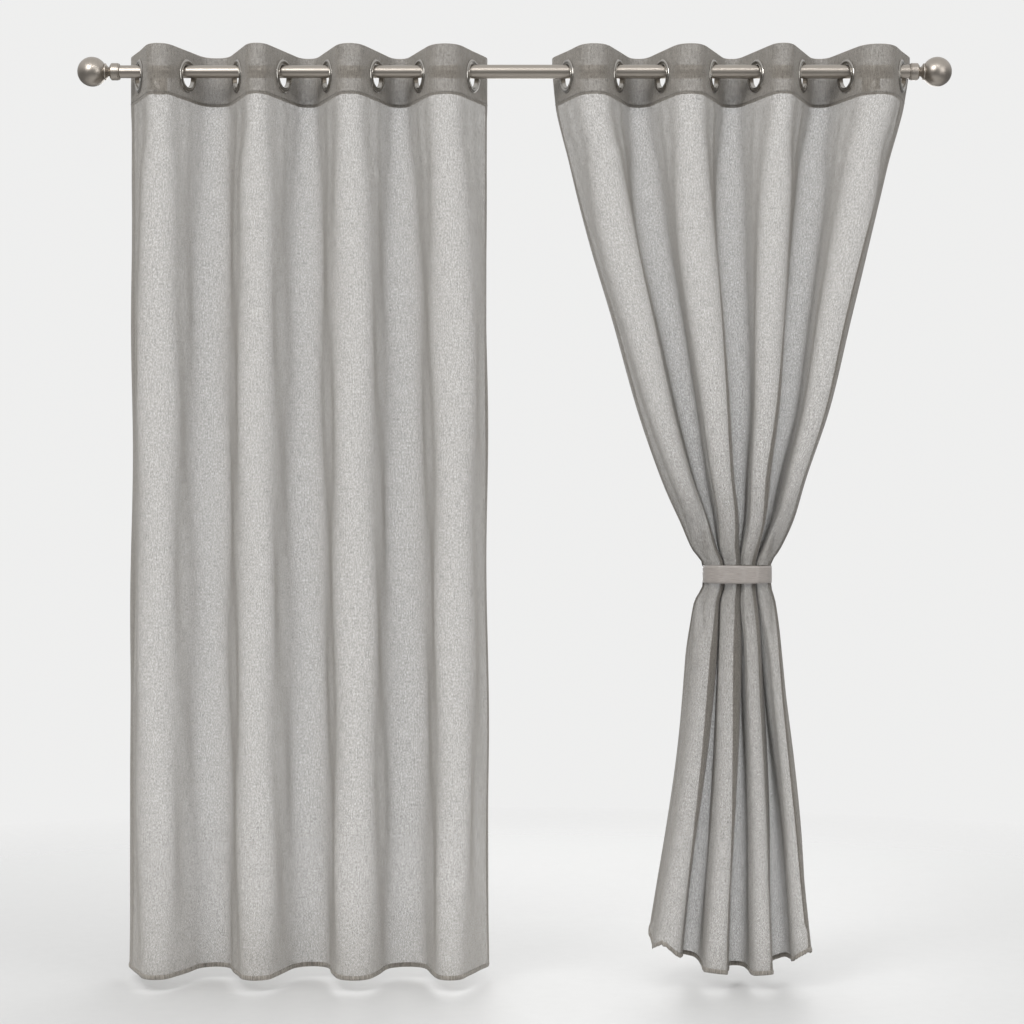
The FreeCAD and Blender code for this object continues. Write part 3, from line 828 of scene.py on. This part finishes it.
def make_facing(side, drape, settings, material):
    """The header's second layer: over the top edge, down the back, and turned under at its foot."""
    header_rows = drape.down[(drape.down > 0) & (drape.down < HEADER_DEEP - 0.001)]
    rows = [(0.0, LAYER_OUT, 0.0), (0.0, 0.0009, 0.0008), (0.0, 0.0, 0.0012), (0.0, -0.0009, 0.0008),
            (0.0, -LAYER_OUT, 0.0)]
    rows += [(d, -LAYER_OUT, 0.0) for d in header_rows]
    rows += [(HEADER_DEEP, -LAYER_OUT - 0.0001, 0.0), (HEADER_DEEP, -LAYER_OUT - 0.0006, 0.0),
             (HEADER_DEEP - TURNED_UNDER, -LAYER_OUT - 0.0007, 0.0)]
    rows = np.array(rows)
    across = between_side_hems(drape, settings)
    a = np.broadcast_to(across, (len(rows), len(across)))
    d = np.broadcast_to(rows[:, 0:1], a.shape)
    points = drape.at(a, d, np.broadcast_to(rows[:, 1:2], a.shape), np.broadcast_to(rows[:, 2:3], a.shape))
    middle_a, middle_d = np.meshgrid(cell_middles(across), cell_middles(rows[:, 0]))
    faces = grid_faces(len(rows), len(across), keep=~in_a_grommet(middle_a, middle_d, HOLE_R))
    run = np.concatenate([[0], np.cumsum(np.linalg.norm(np.diff(rows, axis=0), axis=1))])
    places = np.stack([a, np.broadcast_to(-run[:, None], a.shape)], axis=-1).reshape(-1, 2)
    points, faces, places = drop_loose(points.reshape(-1, 3), faces, places)
    piece = new_piece(side + "_header_facing", points, faces, places, material, np.ones(len(points)))
    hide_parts(side + "_panel_header_band")
    return piece, float(run[-1])


def rolled_edge(name, drape, ring, length, along_places, material, pitch):
    """A closed roll of cloth along an edge, ridged where the overlock thread wraps it."""
    around = len(ring)
    count = len(along_places)
    points = np.zeros((count, around, 3))
    places = np.zeros((count, around, 2))
    ridge = 0.88 + 0.12 * np.abs(np.sin(math.pi * along_places / pitch))
    for i, (side_by, out_by) in enumerate(ring):
        across, down = length(along_places, side_by * ridge)
        points[:, i] = drape.at(across, down, out_by * ridge)
        places[:, i, 0], places[:, i, 1] = along_places, 0.004 * i / around
    faces = grid_faces(count, around, closed_columns=True)
    flat = [tuple(f[::-1]) for f in faces]
    flat.append(tuple(range(around)))
    flat.append(tuple((count - 1) * around + i for i in range(around))[::-1])
    return new_piece(name, points.reshape(-1, 3), flat, places.reshape(-1, 2), material)


def oval_ring(half_wide, half_thick, count):
    turns = 2 * math.pi * np.arange(count) / count
    return [(half_wide * math.cos(t), half_thick * math.sin(t)) for t in turns]


def make_hems(side, drape, settings, material):
    """Bottom hem and the two side hems."""
    half = settings.hem_height / 2
    fine = settings.stitch_pitch / 3
    along = np.arange(0.0, PANEL_WIDE + fine / 2, fine)
    along[-1] = PANEL_WIDE
    bottom = rolled_edge(
        side + "_bottom_hem", drape, oval_ring(half, BOTTOM_HEM_HALF_THICK, 8),
        lambda at, by: (at, PANEL_LONG - half + by), along, material, settings.stitch_pitch)
    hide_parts(side + "_panel_bottom_hem")
    hems = [bottom]
    side_half = settings.side_hem / 2
    drop = np.arange(0.001, PANEL_LONG - settings.hem_height * 0.4, settings.stitch_pitch / 2)
    for edge, middle in (("left", side_half), ("right", PANEL_WIDE - side_half)):
        hem = rolled_edge(
            "%s_curtain_%s_side_hem" % (side, edge), drape, oval_ring(side_half, SIDE_HEM_HALF_THICK, 6),
            lambda at, by, middle=middle: (middle - by, at), drop, material, settings.stitch_pitch)
        hems.append(hem)
    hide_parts(side + "_panel_side_hems")
    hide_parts(side + "_panel_side_hems")
    return hems


def make_stitches(name, drape, rows, pitch, material):
    """Running stitches: one small spindle each, along lines of the panel."""
    length, radius = pitch * 0.78, 0.00035
    shape = [(-0.5, 0, 0)] + [(end, side, up) for end in (-0.28, 0.28)
                              for side, up in ((1, 0), (0, 1), (-1, 0), (0, -1))] + [(0.5, 0, 0)]
    spindle = [(0, 1 + (i + 1) % 4, 1 + i) for i in range(4)]
    spindle += [(1 + i, 1 + (i + 1) % 4, 5 + (i + 1) % 4, 5 + i) for i in range(4)]
    spindle += [(9, 5 + i, 5 + (i + 1) % 4) for i in range(4)]
    points, faces = [], []
    for down, out in rows:
        for across in np.arange(STITCH_MARGIN, PANEL_WIDE - STITCH_MARGIN, pitch):
            if in_a_grommet(across, down, STITCH_CLEAR_R):
                continue
            base = len(points)
            for along, sideways, up in shape:
                points.append(tuple(drape.at(
                    across + along * length, down + sideways * radius, out + up * radius)))
            faces += [tuple(base + v for v in face) for face in spindle]
    return new_piece(name, points, faces, material=material)


# ---------------------------------------------------------------- operators

def clear_selection():
    for piece in bpy.context.selected_objects:
        piece.select_set(False)


def build_panel(side):
    settings = bpy.context.scene.curtain_cloth
    drape = Drape(side, settings)
    cloth_look = same_material("sheer heather cloth", cloth_material, settings, settings.cover, 0.35)
    facing_look = same_material(
        "stiffened header cloth", cloth_material, settings, settings.header_cover, 0.25)
    hem_look = same_material("overlocked hem", hem_material, settings)
    thread = same_material("grey sewing thread", thread_material, (0.20, 0.195, 0.185))
    cloth = make_cloth(side, drape, settings, cloth_look)
    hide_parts(side + "_panel_cloth")
    facing, facing_long = make_facing(side, drape, settings, facing_look)
    hems = make_hems(side, drape, settings, hem_look)
    seam_down = HEADER_DEEP - SEAM_UP
    seam = make_stitches(
        side + "_header_stitching", drape,
        ((seam_down, LAYER_OUT + 0.0002), (seam_down, -LAYER_OUT - 0.0009)), 0.0034, thread)
    for piece in [cloth, facing, seam, *hems]:
        follow_curtain(piece)


class CURTAIN_OT_left_panel(bpy.types.Operator):
    """Make the straight panel: cloth, header facing, hems and stitching"""
    bl_idname = "curtain.left_panel"
    bl_label = "Left panel"

    def execute(self, context):
        build_panel("left")
        return {"FINISHED"}


class CURTAIN_OT_right_panel(bpy.types.Operator):
    """Make the tied panel: cloth, header facing, hems and stitching"""
    bl_idname = "curtain.right_panel"
    bl_label = "Right panel"

    def execute(self, context):
        build_panel("right")
        return {"FINISHED"}


def strap_route(half_wide, half_deep, spacing):
    """The strap's run round the bundle from its back right, its plan points and outward normals."""
    corner = half_deep * 0.92
    corner_steps = 16
    points, normals = [], []
    for start, (cx, cy) in enumerate(((1, 1), (1, -1), (-1, -1), (-1, 1))):
        for k in range(corner_steps + 1):
            turn = math.pi / 2 - start * math.pi / 2 - k * math.pi / (2 * corner_steps)
            normals.append((math.cos(turn), math.sin(turn)))
            points.append((cx * (half_wide - corner) + corner * math.cos(turn),
                           cy * (half_deep - corner) + corner * math.sin(turn)))
    points, normals = np.array(points), np.array(normals)
    ring = np.vstack([points, points[:1]])
    turned = np.vstack([normals, normals[:1]])
    run = np.concatenate([[0], np.cumsum(np.linalg.norm(np.diff(ring, axis=0), axis=1))])
    at = np.linspace(0, run[-1], int(run[-1] / spacing) + 1)
    places = np.stack([np.interp(at, run, ring[:, k]) for k in range(2)], axis=1)
    ways = np.stack([np.interp(at, run, turned[:, k]) for k in range(2)], axis=1)
    return at, places, ways / np.linalg.norm(ways, axis=1, keepdims=True)


def strap_profile(height, thickness):
    """The strap's cut edge to edge: a flat oval with softly rolled edges, as height and outward pairs."""
    half, thick = height / 2, thickness / 2
    rows = np.linspace(-1, 1, 9)
    outer = [(half * r, thick * (1 - 0.55 * abs(r) ** 6)) for r in rows]
    inner = [(half * r, -thick * (1 - 0.55 * abs(r) ** 6)) for r in rows[::-1]]
    return outer + inner


class CURTAIN_OT_tieback(bpy.types.Operator):
    """Make the tieback: satin strap, its loose end, and the hook tape that closes it"""
    bl_idname = "curtain.tieback"
    bl_label = "Tieback"

    def execute(self, context):
        settings = context.scene.curtain_tieback
        satin = same_material("satin strap", satin_material, tuple(settings.satin))
        self.make_strap(settings, satin)
        self.make_tab(settings, satin)
        self.make_pad(settings)
        return {"FINISHED"}

    def make_strap(self, settings, satin):
        thick = settings.thickness
        inside = thick / 2 + 0.0002
        half_wide = (TIE_HIGH[0] - TIE_LOW[0]) / 2 - inside
        half_deep = (TIE_HIGH[1] - TIE_LOW[1]) / 2 - inside
        middle_y = (TIE_LOW[1] + TIE_HIGH[1]) / 2
        height = TIE_HIGH[2] - TIE_LOW[2]
        spacing = 0.002
        run, plan, ways = strap_route(half_wide, half_deep, spacing)
        profile = strap_profile(height, thick)
        run, plan, ways = run[:-1], plan[:-1], ways[:-1]
        front = smooth(-plan[:, 1], 0.0, 0.02)
        lobes = 0.0012 * front * (np.cos(2 * math.pi * plan[:, 0] / 0.030) - 1)
        rows, places = [], []
        for up, out in profile:
            sag = 0.0005 * np.sin(run * 41 + up * 60)
            reach = (out + lobes - 0.0004)[:, None] * ways
            level = np.full(len(run), TIE_Z) + up + sag
            around = plan + reach
            rows.append(np.column_stack([TIE_X + around[:, 0], middle_y + around[:, 1], level]))
            places.append(np.column_stack([run, np.full(len(run), up)]))
        rows, places = np.array(rows), np.array(places)
        faces = [f[::-1] for f in grid_faces(len(profile), len(run), closed_rows=True, closed_columns=True)]
        strap = new_piece("tieback_satin_strap", rows.reshape(-1, 3), faces, places.reshape(-1, 2), satin)
        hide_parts("tieback_strap")
        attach(strap, "tieback")
        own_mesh(strap)

    def make_tab(self, settings, satin):
        """The strap's loose end, with a rounded tip."""
        low, high = box_of("tieback_fastener_tab")
        thick = settings.thickness
        wide, tall = high[0] - low[0], high[2] - low[2]
        middle = ((low[1] + high[1]) / 2, (low[2] + high[2]) / 2)
        profile = strap_profile(tall, thick)
        steps = np.linspace(0, 1, 25)
        rows, places = [], []
        for up, out in profile:
            tip = np.clip((0.22 - steps) / 0.22, 0, 1)
            narrow = np.sqrt(np.clip(1 - (0.62 * tip) ** 2.4, 0, 1))
            x = low[0] + steps * wide
            rows.append(np.column_stack([x, middle[0] + out + 0 * x, middle[1] + up * narrow]))
            places.append(np.column_stack([x, up * narrow]))
        rows, places = np.array(rows), np.array(places)
        faces = grid_faces(len(profile), len(steps), closed_rows=True)
        count = len(steps)
        faces.append(tuple(r * count for r in range(len(profile))))
        faces.append(tuple(r * count + count - 1 for r in range(len(profile)))[::-1])
        tab = new_piece("tieback_loose_end", rows.reshape(-1, 3), faces, places.reshape(-1, 2), satin)
        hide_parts("tieback_fastener_tab")
        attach(tab, "tieback_tab")

    def make_pad(self, settings):
        """Hook tape: a thin woven base with rows of little hooks."""
        low, high = box_of("tieback_fastener_pad")
        grip = same_material("hook tape", thread_material, (0.42, 0.40, 0.38))
        clear_selection()
        base_thick = (high[1] - low[1]) * 0.5
        bpy.ops.mesh.primitive_cube_add(size=1, location=(
            (low[0] + high[0]) / 2, low[1] + base_thick / 2, (low[2] + high[2]) / 2))
        pad = bpy.context.object
        pad.name = "tieback_hook_tape"
        pad.scale = (high[0] - low[0], base_thick, high[2] - low[2])
        bpy.ops.object.transform_apply(location=True, rotation=True, scale=True)
        bpy.ops.object.mode_set(mode="EDIT")
        bpy.ops.mesh.bevel(offset=0.00025, segments=2, affect="EDGES")
        bpy.ops.object.mode_set(mode="OBJECT")
        pad.data.materials.append(grip)
        hooks = []
        rows = settings.hooks_across - 1
        for i in range(settings.hooks_across):
            for j in range(rows):
                x = low[0] + (i + 0.5 + 0.3 * (j % 2)) * (high[0] - low[0]) / (settings.hooks_across + 0.3)
                z = low[2] + (j + 0.5) * (high[2] - low[2]) / rows
                hooks.append((x, low[1] + base_thick, z))
        clear_selection()
        reach = high[1] - low[1] - base_thick
        bpy.ops.mesh.primitive_torus_add(
            major_segments=8, minor_segments=4, major_radius=reach * 0.72, minor_radius=0.00012,
            location=(0, 0, 0), rotation=(0, math.pi / 2, 0))
        hook = bpy.context.object
        bpy.ops.object.transform_apply(location=True, rotation=True, scale=True)
        points, faces = [], []
        for x, y, z in hooks:
            base = len(points)
            points += [(x + v.co.x, y + v.co.y, z + v.co.z) for v in hook.data.vertices]
            faces += [tuple(base + v for v in p.vertices) for p in hook.data.polygons]
        bpy.data.objects.remove(hook)
        loops = new_piece("tieback_hooks", points, faces, material=grip)
        for piece in (pad, loops):
            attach(piece, "tieback")
        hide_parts("tieback_fastener_pad")


class CURTAIN_OT_metalwork(bpy.types.Operator):
    """Give the rod, finials, brackets and grommets their finishes"""
    bl_idname = "curtain.metalwork"
    bl_label = "Metalwork"

    def execute(self, context):
        settings = context.scene.curtain_metal
        nickel = tuple(settings.nickel)
        along_rod = nickel_material("brushed rod nickel", nickel, (7, 2300, 2300), 0.30, 0.35)
        turned = nickel_material("turned finial nickel", nickel, (1500, 40, 40), 0.33, 0.12)
        lacquer = nickel_material(
            "satin bracket lacquer", tuple(0.85 * c for c in nickel), (300, 300, 300), 0.42, 0.15)
        plated = nickel_material(
            "polished grommet plate", tuple(settings.plate), (420, 420, 420), 0.16, 0.05)
        plastic = plastic_material("moulded plug plastic")
        looks = {"grommet": plated, "finial": turned, "bracket": lacquer, "plug": plastic, "rod": along_rod}
        for name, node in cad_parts.items():
            for word, look in looks.items():
                if word in name:
                    node.material_slots[0].material = look
                    break
        return {"FINISHED"}


class CURTAIN_OT_stage(bpy.types.Operator):
    """Set the floor, surround, lights and camera"""
    bl_idname = "curtain.stage"
    bl_label = "Stage"

    def execute(self, context):
        settings = context.scene.curtain_stage
        self.make_floor(settings)
        self.make_surround(settings)
        self.make_lights(settings)
        self.make_camera()
        context.scene.view_settings.view_transform = "Standard"
        return {"FINISHED"}

    def make_floor(self, settings):
        clear_selection()
        bpy.ops.mesh.primitive_circle_add(vertices=96, radius=3.2, fill_type="NGON",
                                          location=(0, ROD_Y, HEM_Z - settings.drop))
        floor = bpy.context.object
        floor.name = "studio_floor"
        bpy.ops.object.transform_apply(location=True, rotation=True, scale=True)
        material, tree, shader = new_material("pale floor")
        place = object_place(tree)
        parts = put(tree, "ShaderNodeSeparateXYZ", in_0=place)
        sideways = maths(tree, "POWER", parts.outputs[0], 2.0)
        forwards = maths(tree, "POWER", plus(tree, parts.outputs[1], -ROD_Y), 2.0)
        away = maths(tree, "SQRT", plus(tree, sideways, forwards))
        solid = spread_between(tree, away, 0.7, 2.6, 1.0, 0.0)
        speck = noise(tree, place, scale=40.0)
        shade = blend_colours(tree, speck, (0.66, 0.66, 0.655, 1), (0.69, 0.69, 0.685, 1))
        fill(tree, shader, Base_Color=shade, Alpha=solid, Roughness=0.55)
        floor.data.materials.append(material)

    def make_surround(self, settings):
        """A pale surround for the eye, and a graded one, darker low down, for what shines."""
        world = bpy.data.worlds.new("studio surround")
        bpy.context.scene.world = world
        world.use_nodes = True
        tree = world.node_tree
        seen = fill(tree, tree.nodes["Background"], Color=(1.0, 1.0, 0.995, 1), Strength=settings.surround)
        way = put(tree, "ShaderNodeTexCoord").outputs["Generated"]
        parts = put(tree, "ShaderNodeSeparateXYZ", in_0=way)
        ramp = put(tree, "ShaderNodeValToRGB", in_0=maths(tree, "MULTIPLY_ADD", parts.outputs[2], 0.5, 0.5))
        stops = ramp.color_ramp.elements
        stops[0].position, stops[0].color = 0.18, (0.30, 0.30, 0.30, 1)
        stops[1].position, stops[1].color = 0.78, (0.95, 0.95, 0.95, 1)
        low = stops.new(0.46)
        low.color = (0.26, 0.26, 0.26, 1)
        lit = put(tree, "ShaderNodeBackground", in_Color=ramp.outputs[0], in_Strength=settings.surround)
        path = put(tree, "ShaderNodeLightPath")
        both = put(tree, "ShaderNodeMixShader", in_0=path.outputs["Is Camera Ray"], in_1=lit, in_2=seen)
        fill(tree, tree.nodes["World Output"], Surface=both)

    def make_lights(self, settings):
        middle = (CAD_BOX[0][2] + CAD_BOX[1][2]) / 2
        for name, power, size, place in (
                ("key softbox", settings.key_power, (1.8, 1.8), (-1.9, -3.2, middle + 2.3)),
                ("fill softbox", settings.fill_power, (2.0, 2.0), (2.4, -2.8, middle + 1.0)),
                ("strip light", settings.fill_power * 0.5, (2.4, 0.25), (0.0, -2.2, middle + 2.2)),
                ("window glow", settings.fill_power, (1.8, 1.8), (0.3, 2.2, middle + 0.6))):
            light = bpy.data.lights.new(name, "AREA")
            light.energy = power
            light.shape = "RECTANGLE"
            light.size, light.size_y = size
            lamp = bpy.data.objects.new(name, light)
            bpy.context.scene.collection.objects.link(lamp)
            lamp.location = place
            x, y, z = [a - b for a, b in zip((0.0, ROD_Y, middle + 0.2), place)]
            lamp.rotation_euler = (math.atan2(math.hypot(x, y), -z), 0, math.atan2(y, x) - math.pi / 2)
            lamp.visible_camera = False

    def make_camera(self):
        distance, span, eye, aim = 4.0, 1.777, -0.797, -0.764
        camera = bpy.data.cameras.new("eye-level camera")
        camera.sensor_width = 36
        camera.lens = 36 * distance / span
        camera.shift_y = (aim - eye) / span
        camera.clip_end = 60
        viewer = bpy.data.objects.new("eye-level camera", camera)
        bpy.context.scene.collection.objects.link(viewer)
        viewer.location = (-0.0045, ROD_Y - distance, eye)
        viewer.rotation_euler = (math.pi / 2, 0, 0)
        bpy.context.scene.camera = viewer


class CURTAIN_PT_sidebar(bpy.types.Panel):
    bl_idname = "CURTAIN_PT_sidebar"
    bl_label = "Grommet curtains"
    bl_space_type = "VIEW_3D"
    bl_region_type = "UI"
    bl_category = "Curtains"

    def draw(self, context):
        for operator in OPERATORS:
            self.layout.operator(operator.bl_idname)
        for group in SETTINGS:
            settings = getattr(context.scene, group)
            for name in settings.bl_rna.properties.keys():
                if name not in ("rna_type", "name"):
                    self.layout.prop(settings, name)


SETTINGS = {
    "curtain_cloth": CurtainClothSettings,
    "curtain_metal": CurtainMetalSettings,
    "curtain_tieback": CurtainTiebackSettings,
    "curtain_stage": CurtainStageSettings,
}
OPERATORS = (CURTAIN_OT_metalwork, CURTAIN_OT_left_panel, CURTAIN_OT_right_panel, CURTAIN_OT_tieback,
             CURTAIN_OT_stage)
CLASSES = (*SETTINGS.values(), *OPERATORS, CURTAIN_PT_sidebar)


def register():
    for item in CLASSES:
        bpy.utils.register_class(item)
    for name, group in SETTINGS.items():
        setattr(bpy.types.Scene, name, PointerProperty(type=group))


def unregister():
    for name in SETTINGS:
        delattr(bpy.types.Scene, name)
    for item in reversed(CLASSES):
        bpy.utils.unregister_class(item)


def main():
    register()
    for piece in ("metalwork", "left_panel", "right_panel", "tieback", "stage"):
        getattr(bpy.ops.curtain, piece)()


if __name__ == "__main__":
    main()
